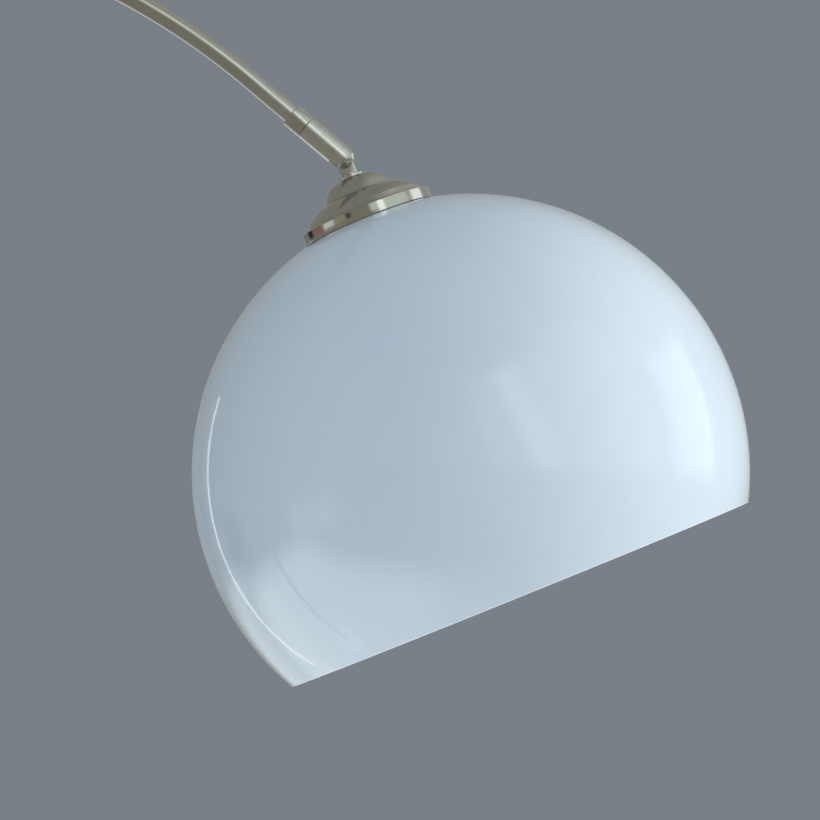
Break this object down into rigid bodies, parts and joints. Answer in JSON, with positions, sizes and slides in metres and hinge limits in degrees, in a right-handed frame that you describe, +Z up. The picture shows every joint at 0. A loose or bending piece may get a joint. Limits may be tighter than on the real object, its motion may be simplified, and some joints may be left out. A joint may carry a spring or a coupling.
{
  "type": "arc floor lamp",
  "caption": "Arc floor lamp: an opal dome shade on a tilting knuckle at the tip of a curved nickel arm, on a slim upright and heavy round base.",
  "frame": {"origin": "on the floor under the upright's axis, at the centre of the base's underside", "axes": "+Z up; +X from the upright towards the shade, with the arm in the XZ plane"},
  "size_m": [1.4093, 0.3998, 1.852],
  "materials": {
    "marble": "gloss",
    "felt": "matte",
    "zinc_steel": "satin",
    "satin_nickel": "satin",
    "satin_nickel_tube": "satin",
    "spun_nickel": "satin",
    "bright_nickel": "polished",
    "opal_shade": "gloss",
    "clear_moulding": "satin",
    "nylon": "satin",
    "white_moulding": "gloss",
    "porcelain": "gloss",
    "brass": "satin",
    "bulb_metal": "satin",
    "bulb_moulding": "satin",
    "bulb_opal": "satin",
    "flex_sheath": "satin"
  },
  "bodies": {
    "stand": {"base_slab": "marble", "base_pad": "felt", "base_washer": "zinc_steel", "base_nut": "zinc_steel", "base_stud": "zinc_steel", "foot_insert": "zinc_steel", "foot_flange": "satin_nickel", "cord_gland": "clear_moulding", "upright_lower_tube": "satin_nickel_tube", "upright_coupler": "satin_nickel", "upright_upper_tube": "satin_nickel_tube", "top_socket": "satin_nickel", "swivel_bush": "nylon", "flex_stand": "flex_sheath"},
    "clamp_screw": {"clamp_stud": "zinc_steel", "clamp_knob": "satin_nickel"},
    "arm": {"arm_lower_tube": "satin_nickel_tube", "arm_stop_collar": "satin_nickel", "arm_spigot": "zinc_steel", "arm_upper_tube": "satin_nickel_tube", "arm_sleeve": "satin_nickel", "arm_set_screw": "zinc_steel", "tip_collar": "satin_nickel", "tip_plug": "zinc_steel", "swivel_washer": "zinc_steel", "swivel_nut": "zinc_steel", "flex_arm": "flex_sheath"},
    "knuckle": {"knuckle_barrel": "satin_nickel", "pivot_screw": "zinc_steel"},
    "head": {"knuckle_tab": "satin_nickel", "friction_washers": "nylon", "cap_washer": "bright_nickel", "shade_cap": "spun_nickel", "shade": "opal_shade", "shade_gasket": "clear_moulding", "clamp_plate": "zinc_steel", "clamp_nut": "zinc_steel", "holder_cap": "white_moulding", "holder_body": "white_moulding", "holder_insert": "porcelain", "holder_shell": "brass", "centre_contact": "brass", "bulb_cap": "bulb_metal", "bulb_housing": "bulb_moulding", "bulb_globe": "bulb_opal", "flex_head": "flex_sheath"}
  },
  "joints": [
    {"name": "arm_swivel", "type": "hinge", "parent": "stand", "child": "arm", "pos_m": [0, 0, 1.29], "axis": [0, 0, 1], "range_deg": [-170, 170]},
    {"name": "clamp_screw_turn", "type": "hinge", "parent": "stand", "child": "clamp_screw", "pos_m": [-0.02, 0, 1.276], "axis": [-1, 0, 0], "range_deg": [-360, 0]},
    {"name": "head_swivel", "type": "hinge", "parent": "arm", "child": "knuckle", "pos_m": [0.92104, 0, 1.68398], "axis": [0.7615, 0, -0.6481], "range_deg": [-90, 90]},
    {"name": "head_tilt", "type": "hinge", "parent": "knuckle", "child": "head", "pos_m": [0.94777, 0, 1.66123], "axis": [0, 1, 0], "range_deg": [-27, 60]}
  ]
}
